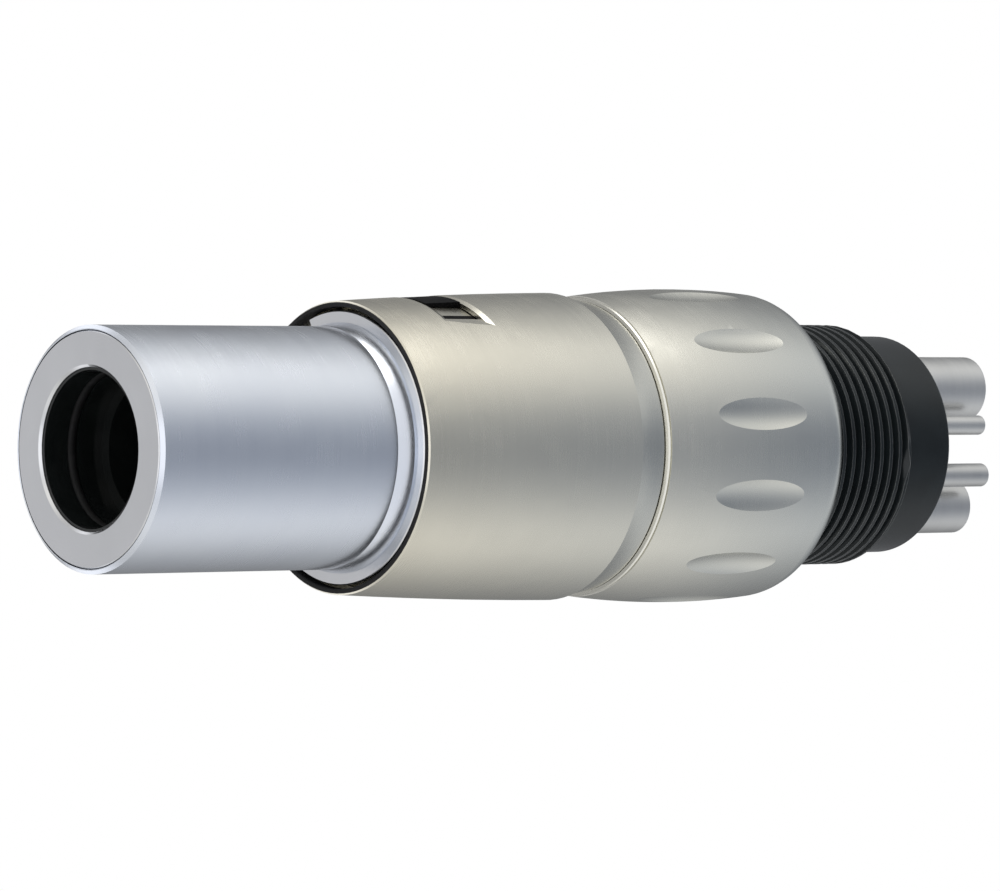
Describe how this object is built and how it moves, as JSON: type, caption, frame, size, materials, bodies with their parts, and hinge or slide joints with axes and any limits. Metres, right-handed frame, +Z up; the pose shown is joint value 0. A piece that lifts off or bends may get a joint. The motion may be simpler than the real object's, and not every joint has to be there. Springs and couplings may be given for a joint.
{
  "type": "dental handpiece hose coupling",
  "caption": "Cylindrical quick-release coupling between a dental handpiece and its hose: smooth front tube, sliding shell, finger-scooped water regulator ring, threaded rear with tubes.",
  "frame": {"origin": "centre of the flat rear face, where the hose's gasket seats", "axes": "+X along the coupling's axis, out of the rear towards the hose; +Z up, through the middle of the spring-loaded upper claw; +Y completes the frame, so the side with the air and water tubes faces -Y"},
  "size_m": [0.0602, 0.0174, 0.0174],
  "materials": {
    "satin_metal": "satin, fine brushing",
    "bright_tube": "bright satin",
    "polished_metal": "polished",
    "core_metal": "machined",
    "black_metal": "black oxide, semi-gloss",
    "tube_metal": "fine satin",
    "black_liner": "black, low gloss",
    "rubber": "black",
    "enamel": "gloss black",
    "spring_steel": "drawn wire",
    "brass": "machined",
    "contact_gold": "plated",
    "insulator": "matte",
    "ceramic": "white ceramic",
    "lens": "clear",
    "board": "circuit board"
  },
  "bodies": {
    "coupling_core": {"front_tube": "bright_tube", "nose_ring": "polished_metal", "guide_ring": "polished_metal", "core_body": "core_metal", "core_friction_ring": "rubber", "connector_body": "black_metal", "manifold_gasket": "rubber", "core_screws": "core_metal", "seal_cartridge": "black_liner", "light_board": "board", "light_body": "ceramic", "light_lens": "lens", "light_leads": "contact_gold", "contact_pins": "contact_gold", "pin_insulators": "insulator", "valve_seat": "brass", "valve_spring": "spring_steel", "release_spring": "spring_steel", "claw_pins": "core_metal", "claw_springs": "spring_steel", "exhaust_tube": "tube_metal", "drive_air_tube": "tube_metal", "water_tube": "tube_metal", "chip_air_tube": "tube_metal", "bore_seal_1": "rubber", "bore_seal_2": "rubber", "bore_seal_3": "rubber", "bore_seal_4": "rubber"},
    "release_shell": {"body_sleeve": "satin_metal", "front_cushion_ring": "rubber", "snap_ring": "spring_steel", "spring_seat_ring": "core_metal", "link_pins": "core_metal", "release_finger_upper": "core_metal", "release_finger_lower": "core_metal", "setting_inlay": "enamel"},
    "regulator": {"regulator_ring": "satin_metal", "indicator_drum": "satin_metal", "setting_mark": "enamel", "cam_ring": "brass"},
    "needle": {"regulator_needle": "brass", "needle_seal": "rubber"},
    "upper_claw": {"lock_claw_upper": "core_metal"},
    "lower_claw": {"lock_claw_lower": "core_metal"},
    "non_return_ball": {"valve_ball": "core_metal"}
  },
  "joints": [
    {"name": "release_slide", "type": "slide", "parent": "coupling_core", "child": "release_shell", "axis": [1, 0, 0], "range_m": [0, 0.0012], "stiffness_N_per_m": 1500, "springref_m": -0.003, "deforming": ["release_spring", "claw_springs"]},
    {"name": "regulator_turn", "type": "hinge", "parent": "release_shell", "child": "regulator", "pos_m": [-0.0158, 0, 0], "axis": [1, 0, 0], "range_deg": [-60, 60]},
    {"name": "needle_slide", "type": "slide", "parent": "coupling_core", "child": "needle", "axis": [0, -0.9083, -0.4183], "range_m": [-0.000301, 0.000301]},
    {"name": "upper_claw_rock", "type": "hinge", "parent": "coupling_core", "child": "upper_claw", "pos_m": [-0.0466, 0, 0.0046], "axis": [0, 1, 0], "range_deg": [0, 5.01]},
    {"name": "lower_claw_rock", "type": "hinge", "parent": "coupling_core", "child": "lower_claw", "pos_m": [-0.0466, 0, -0.0046], "axis": [0, -1, 0], "range_deg": [0, 5.01]},
    {"name": "valve_lift", "type": "slide", "parent": "coupling_core", "child": "non_return_ball", "axis": [-1, 0, 0], "range_m": [0, 0.0006], "stiffness_N_per_m": 15, "springref_m": -0.002, "deforming": ["valve_spring"]}
  ],
  "couplings": [
    {"joint": "needle_slide", "follows": "regulator_turn", "m_per_rad": -0.00028648},
    {"joint": "upper_claw_rock", "follows": "release_slide", "rad_per_m": 72.722},
    {"joint": "lower_claw_rock", "follows": "release_slide", "rad_per_m": 72.722}
  ]
}
